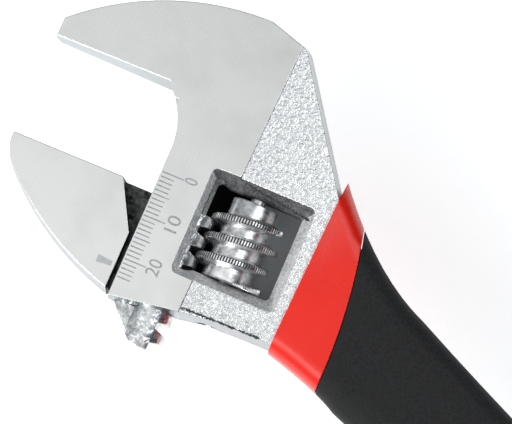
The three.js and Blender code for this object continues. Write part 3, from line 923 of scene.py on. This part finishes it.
@dataclass
class Scale:
    """The etched millimetre scale with its numerals, and the index mark on the jaw."""

    place: HeadFrame
    first: float = -18.6
    count: int = 25
    starts: float = 0.3
    short: float = 3.3
    five: float = 3.9
    ten: float = 5.2
    width: float = 0.36
    tip_share: float = 0.7
    numeral_top: float = 5.3
    numeral_foot: float = 8.2
    numeral_width: float = 1.3
    numeral_step: float = 2.2
    numeral_shift: float = 0.28
    boldness: float = 0.004
    edge_half: float = 6.4
    taper_degrees: float = 4.0
    proud: float = 0.012
    index: tuple[Point, ...] = ((-5.2, -41.5), (-1.8, -41.15), (-1.8, -40.1), (-5.2, -39.8))

    def on_face(self, x: float, y: float, above: float = 0.0) -> Vector:
        """Gives a point on the tapered ground face.

        Args:
            x: Head x.
            y: Head y.
            above: Height over the face.

        Returns:
            The point in row metres.
        """
        taper = math.tan(math.radians(self.taper_degrees))
        return self.place.at(x, y, self.edge_half + taper * x + above)

    def plate(self, name: str, outline: tuple[Point, ...]) -> bpy.types.Mesh:
        """Makes a very thin plate on the ground face.

        Args:
            name: The mesh's name.
            outline: Its corners, counter-clockwise.

        Returns:
            The mesh.
        """
        count = len(outline)
        points = [self.on_face(x, y, -self.proud) for x, y in outline]
        points += [self.on_face(x, y, self.proud) for x, y in outline]
        return mesh_of(name, points, ring_faces(2, count))

    def ticks(self) -> list[bpy.types.Mesh]:
        """Makes the tick marks, one millimetre apart and narrower away from the edge.

        Returns:
            Their meshes.
        """
        meshes = []
        for k in range(self.count):
            y = self.first - k
            end = self.ten if k % 10 == 0 else self.five if k % 5 == 0 else self.short
            foot = self.width / 2
            tip = foot * self.tip_share
            outline = ((self.starts, y - foot), (end, y - tip), (end, y + tip), (self.starts, y + foot))
            meshes.append(self.plate(f"tick_{k}", outline))
        return meshes

    def numeral(self, text: str, y: float) -> bpy.types.Mesh:
        """Makes a numeral that reads along +Y with its top towards the ticks.

        Args:
            text: Its digits.
            y: Where its middle is.

        Returns:
            The mesh.
        """
        curve = bpy.data.curves.new(f"numeral_{text}", "FONT")
        curve.body = text
        curve.fill_mode = "FRONT"
        curve.offset = self.boldness
        holder = bpy.data.objects.new("numeral_holder", curve)
        mesh = bpy.data.meshes.new_from_object(holder)
        bpy.data.objects.remove(holder)
        low = Vector([min(v.co[i] for v in mesh.vertices) for i in range(3)])
        high = Vector([max(v.co[i] for v in mesh.vertices) for i in range(3)])
        wide = self.numeral_width + self.numeral_step * (len(text) - 1)
        middle = y + self.numeral_shift * len(text)
        for vertex in mesh.vertices:
            across = (vertex.co.x - low.x) / (high.x - low.x) - 0.5
            upright = (vertex.co.y - low.y) / (high.y - low.y)
            x = self.numeral_foot + upright * (self.numeral_top - self.numeral_foot)
            vertex.co = self.on_face(x, middle + across * wide, self.proud)
        return mesh

    def build(self) -> None:
        """Builds the scale and the index mark."""
        numerals = [self.numeral(str(10 * k), self.first - 10 * k) for k in range(3)]
        marks = join_meshes("millimetre_scale", self.ticks() + numerals)
        scale = new_object("millimetre_scale", marks)
        dress(scale, [ETCHED_MARK])
        settle(scale, Body.FRAME)
        index = new_object("index_mark", self.plate("index_mark", self.index))
        dress(index, [FAINT_MARK])
        settle(index, Body.JAW)


@dataclass
class SlidingJaw:
    """The movable jaw with its web, rail and rack."""

    place: HeadFrame
    plated_below: float = -46.9
    plated_half: float = 6.0
    web_front: float = -8.0
    web_back: float = 5.5
    web_half: float = 3.3
    ground_above: float = 3.2
    smooth_degrees: float = 28.0

    def choose(self, centre: Vector, normal: Vector) -> Finish:
        """Picks the finish of one face.

        Args:
            centre: The face's centre in row metres.
            normal: Its normal.

        Returns:
            Its finish: ground faces, sides, the web's dark steel, or the rail and its end.
        """
        spot = self.place.back(centre)
        if spot.y < self.plated_below and abs(spot.z) < self.plated_half:
            return RAIL_CHROME
        if abs(normal.z) > LEVEL and abs(spot.z) > self.ground_above:
            return GROUND_CHROME
        if spot.x > self.web_back:
            return RAIL_CHROME
        web = spot.x > self.web_front and normal.y > FACES_DOWN and abs(spot.z) < self.web_half
        return DARK_STEEL if web else SIDE_CHROME

    def build(self) -> None:
        """Builds the jaw."""
        piece = cad_copy("movable_jaw", "sliding_jaw")
        split_across(piece, self.place.at(0, self.plated_below))
        dress(piece, [GROUND_CHROME, SIDE_CHROME, DARK_STEEL, RAIL_CHROME], self.choose)
        smooth_by_angle(piece, self.smooth_degrees)
        settle(piece, Body.JAW, "movable_jaw")


@dataclass
class WormDrive:
    """The knurled adjusting worm, its pin and its spring."""

    place: HeadFrame
    axis: float = 21.0
    top: float = -17.0
    length: float = 17.8
    collar: float = 2.3
    crest_radius: float = 8.05
    hub_radius: float = 5.3
    bore: float = 1.93
    pitch: float = 4.45
    phase: float = -24.95
    crest: float = 1.2
    flank: float = math.tan(math.radians(15))
    hub_ease: float = 0.35
    hub_corner: float = 0.1
    crest_ease: float = 0.18
    sunk: float = 0.4
    sunk_spread: float = 0.1
    start_share: float = 0.55
    foot_gap: float = 0.1
    facing_gap: float = 0.02
    knurls: int = 80
    steps_per_knurl: int = 4
    knurl_depth: float = 0.32
    groove_band: tuple[float, float] = (0.05, 0.12)
    groove_outward: float = 0.3
    run_out: float = 0.22
    run_out_least: float = 0.08
    counterbore: float = 3.6
    counterbore_depth: float = 5.6
    pin_radius: float = 1.85
    pin_head_radius: float = 2.45
    pin_head: float = 3.2
    pin_ease: float = 0.3
    pin_slot: float = 0.8
    hub_sides: int = 96
    pin_sides: int = 48
    smooth_degrees: float = 35.0

    def choose(self, centre: Vector, normal: Vector) -> Finish:
        """Picks the finish of one face.

        Args:
            centre: The face's centre in row metres.
            normal: Its normal.

        Returns:
            Its finish: the bright plate, or painted shade in the grooves of the knurl.
        """
        spot = self.place.back(centre)
        radius = math.hypot(spot.x - self.axis, spot.z)
        across = Vector((spot.x - self.axis, 0.0, spot.z)).normalized()
        below, above = self.groove_band
        low = self.crest_radius - self.knurl_depth - below
        high = self.crest_radius - above
        groove = low < radius < high and normal.dot(across) > self.groove_outward
        return KNURL_GROOVE_SHADE if groove else BRIGHT_CHROME

    def hub(self) -> bpy.types.Mesh:
        """Turns the hub, with eased ends and the spring's counterbore.

        Returns:
            The mesh.
        """
        low = self.top - self.length
        ease = self.hub_ease
        profile = [
            (self.bore, self.top),
            (self.hub_radius - ease, self.top),
            (self.hub_radius - self.hub_corner, self.top - self.hub_corner),
            (self.hub_radius, self.top - ease),
            (self.hub_radius, low + ease),
            (self.hub_radius - ease, low),
            (self.counterbore, low),
            (self.counterbore, low + self.counterbore_depth),
            (self.bore, low + self.counterbore_depth),
        ]
        return turned(self.place, "worm_hub", self.axis, profile, self.hub_sides)

    def section(self, share: float, knurl: float) -> list[Point]:
        """Gives the thread's section as (radius, height) points.

        Args:
            share: 1 for the full thread, less where it runs out.
            knurl: 0 on a knurl's ridge and 1 in its groove.

        Returns:
            The outline.
        """
        depth = (self.crest_radius - self.hub_radius) * share
        crest = self.hub_radius + depth - self.knurl_depth * knurl * share
        half = self.crest / 2 * share
        foot = half + depth * self.flank
        ease = self.crest_ease * share
        sunk = self.hub_radius - self.sunk
        return [
            (sunk, -foot - self.sunk_spread),
            (self.hub_radius, -foot),
            (crest - ease, -half - ease * self.flank),
            (crest, -half + ease),
            (crest, half - ease),
            (crest - ease, half + ease * self.flank),
            (self.hub_radius, foot),
            (sunk, foot + self.sunk_spread),
        ]

    def thread(self) -> bpy.types.Mesh:
        """Winds the knurled thread, which runs out at both ends and is faced off at the hub's foot.

        Each knurl is a ridge with one groove step. A fine knurl of this size has about 104 ridges a
        turn, and 80 are drawn so that they show.

        Returns:
            The mesh.
        """
        room = self.crest / 2 + (self.crest_radius - self.hub_radius) * self.flank
        end_face = self.top - self.length
        high = self.top - self.collar - room * self.start_share
        low = end_face + self.foot_gap
        per_turn = self.knurls * self.steps_per_knurl
        steps = round((high - low) / self.pitch * per_turn)
        points = []
        for step in range(steps + 1):
            height = high - (high - low) * step / steps
            angle = math.pi / 2 + math.tau * (height - self.phase) / self.pitch
            rise_share = math.sqrt(min(1.0, min(step, steps - step) / per_turn / self.run_out))
            share = self.run_out_least + (1 - self.run_out_least) * rise_share
            knurl = 1.0 if step % self.steps_per_knurl == self.steps_per_knurl - 1 else 0.0
            for radius, rise in self.section(share, knurl):
                x = self.axis + radius * math.sin(angle)
                y = max(height + rise, end_face + self.facing_gap)
                points.append(self.place.at(x, y, radius * math.cos(angle)))
        rings = steps + 1
        return mesh_of("worm_thread", points, ring_faces(rings, len(points) // rings))

    def pin(self, low: float, high: float) -> bpy.types.Object:
        """Turns the pin with its eased end and its head.

        Args:
            low: Height of its head's face.
            high: Height of its other end.

        Returns:
            The pin.
        """
        ease = self.pin_ease
        shoulder = low + self.pin_head
        profile = [
            (0.0, low),
            (self.pin_head_radius - ease, low),
            (self.pin_head_radius, low + ease),
            (self.pin_head_radius, shoulder),
            (self.pin_radius, shoulder),
            (self.pin_radius, high - ease),
            (self.pin_radius - ease, high),
            (0.0, high),
        ]
        mesh = turned(self.place, "worm_pin_turned", self.axis, profile, self.pin_sides)
        return new_object("worm_pin_turned", mesh)

    def cut_slot(self, pin: bpy.types.Object, low: float) -> None:
        """Cuts the screwdriver slot across the pin's head.

        Args:
            pin: The pin.
            low: Height of its head's face.
        """
        half, deep = self.pin_slot / 2, self.pin_slot
        wide = self.pin_head_radius + 1
        outline = ((-wide, -1), (wide, -1), (wide, deep), (-wide, deep))
        points = [
            self.place.at(self.axis + x, low + y, z) for z in (-half, half) for x, y in outline
        ]
        cutter = new_object("slot_cutter", mesh_of("slot_cutter", points, ring_faces(2, 4)))
        cut = pin.modifiers.new("slot", "BOOLEAN")
        cut.operation = "DIFFERENCE"
        cut.object = cutter
        cut.solver = "EXACT"
        apply_modifiers(pin)
        bpy.data.objects.remove(cutter)

    def build(self) -> None:
        """Builds the worm and the pin, and dresses the CAD spring."""
        worm = new_object("knurled_worm", join_meshes("knurled_worm", [self.hub(), self.thread()]))
        dress(worm, [BRIGHT_CHROME, KNURL_GROOVE_SHADE], self.choose)
        smooth_by_angle(worm, self.smooth_degrees)
        settle(worm, Body.WORM, "worm")
        low, high = (self.place.back(Vector(corner)).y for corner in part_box("worm_pin"))
        pin = self.pin(low, high)
        self.cut_slot(pin, low)
        dress(pin, [ZINC_STEEL])
        smooth_by_angle(pin, self.smooth_degrees)
        settle(pin, Body.FRAME, "worm_pin")
        for cad_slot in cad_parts["worm_spring"].material_slots:
            cad_slot.material = SPRING_WIRE.material()


@dataclass
class Grip:
    """The red core with its collar, and the black cover."""

    smooth_degrees: float = 35.0

    def build(self) -> None:
        """Builds both mouldings."""
        core = cad_copy("grip_core", "red_core")
        dress(core, [RED_POLYPROPYLENE])
        smooth_by_angle(core, self.smooth_degrees)
        settle(core, Body.FRAME, "grip_core")
        cover = cad_copy("grip_cover", "black_cover")
        dress(cover, [BLACK_RUBBER])
        smooth_by_angle(cover, self.smooth_degrees)
        settle(cover, Body.FRAME, "grip_cover")


# ---------------------------------------------------------------- studio


@dataclass
class Studio:
    """Floor, soft lights and camera."""

    place: HeadFrame
    camera_at: tuple[float, float, float] = (55.78, -65.11, 419.18)
    aim: tuple[float, float, float] = (21.75, -18.85, 6.4)
    lit_point: tuple[float, float, float] = (10.0, -20.0, 0.0)
    roll_degrees: float = 22.94
    lens_mm: float = 139.78
    sensor_mm: float = 36.0
    brightest: tuple[float, float, float] = (-0.45, -0.35, 0.82)
    sky_tones: tuple[tuple[float, str], ...] = (
        (0.0, "#3c4246"),
        (0.5, "#8d979e"),
        (0.79, "#c6c9ca"),
        (0.9, "#fafbfb"),
        (1.0, "#ffffff"),
    )

    def camera(self) -> None:
        """Makes the camera above the head, turned so that the handle runs down to the right."""
        data = bpy.data.cameras.new("camera")
        data.sensor_width = self.sensor_mm
        data.lens = self.lens_mm
        data.clip_start = 0.01
        made = bpy.data.objects.new("camera", data)
        bpy.context.scene.collection.objects.link(made)
        eye = self.place.at(*self.camera_at)
        ahead = (self.place.at(*self.aim) - eye).normalized()
        roll = math.radians(self.roll_degrees)
        right = Vector((math.cos(roll), math.sin(roll), 0.0))
        right = (right - ahead * right.dot(ahead)).normalized()
        up = right.cross(ahead)
        turn = Matrix((right, up, -ahead)).transposed().to_4x4()
        made.matrix_world = Matrix.Translation(eye) @ turn
        bpy.context.scene.camera = made

    def sheet(self, name: str, middle: Point, size: Point, height: float, finish: Finish) -> None:
        """Lays a flat sheet that isn't part of the wrench.

        Args:
            name: Its name.
            middle: Its middle in head millimetres.
            size: Its length along X and Y.
            height: Its height over the plane that the wrench lies on.
            finish: Its finish.
        """
        half = Vector((size[0], size[1], 0.0)) * MM / 2
        corners = [(-1, -1), (1, -1), (1, 1), (-1, 1)]
        points = [Vector((half.x * x, half.y * y, 0.0)) for x, y in corners]
        made = new_object(name, mesh_of(name, points, [[0, 1, 2, 3]]))
        made.location = self.place.at(*middle)
        made.location.z = height * MM
        dress(made, [finish])

    def light(self, name: str, at: tuple[float, float, float], size: float, watts: float) -> None:
        """Hangs one square soft light, aimed at the head.

        Args:
            name: The light's name.
            at: Its place in head millimetres.
            size: Its side in millimetres.
            watts: Its power.
        """
        data = bpy.data.lights.new(name, "AREA")
        data.size = size * MM
        data.energy = watts
        made = bpy.data.objects.new(name, data)
        bpy.context.scene.collection.objects.link(made)
        made.location = self.place.at(*at)
        ahead = (self.place.at(*self.lit_point) - made.location).normalized()
        made.rotation_mode = "QUATERNION"
        made.rotation_quaternion = ahead.to_track_quat("-Z", "Y")

    def sky(self) -> None:
        """Surrounds the scene with a pale ceiling over darker walls."""
        world = bpy.data.worlds.new("studio")
        world.use_nodes = True
        tree = world.node_tree
        tree.nodes.clear()
        place = add_node(tree, "ShaderNodeTexCoord")
        towards = add_node(
            tree,
            "ShaderNodeVectorMath",
            {"operation": "DOT_PRODUCT"},
            {1: Vector(self.brightest).normalized()},
            {0: place.outputs["Generated"]},
        )
        ramp = add_node(tree, "ShaderNodeValToRGB", links={"Fac": towards.outputs["Value"]})
        stops = ramp.color_ramp.elements
        while len(stops) < len(self.sky_tones):
            stops.new(0.5)
        for stop, (height, tone) in zip(stops, self.sky_tones):
            stop.position = height
            stop.color = linear(tone)
        shade = add_node(tree, "ShaderNodeBackground", links={"Color": ramp.outputs["Color"]})
        add_node(tree, "ShaderNodeOutputWorld", links={"Surface": shade.outputs[0]})
        bpy.context.scene.world = world

    def build(self) -> None:
        """Builds the studio."""
        bpy.context.scene.view_settings.view_transform = "Standard"
        self.sky()
        self.sheet("floor", (16, -12), (3000, 3000), -25.0, WHITE_PAPER)
        self.sheet("grey_card", (27.2, -25.5), (15, 29), 0.1, GREY_FELT)
        # The black card stands for the shadow of the rack and worm: a painted shadow.
        self.sheet("painted_shadow_card", (13.7, -25.5), (12, 29), 0.1, SHADOW_FELT)
        self.light("key_softbox", (-220, -340, 330), 240, 1.5)
        self.light("back_softbox", (230, 160, 480), 300, 0.65)
        self.camera()


def main() -> None:
    """Builds the wrench's looks and its studio."""
    logging.basicConfig(level=logging.INFO, format="%(name)s: %(message)s")
    place = HeadFrame.from_worm()
    parts = (Head(place), Scale(place), SlidingJaw(place), WormDrive(place), Grip(), Studio(place))
    for part in parts:
        part.build()
        LOG.info("%s is done", type(part).__name__)


if __name__ == "__main__":
    main()
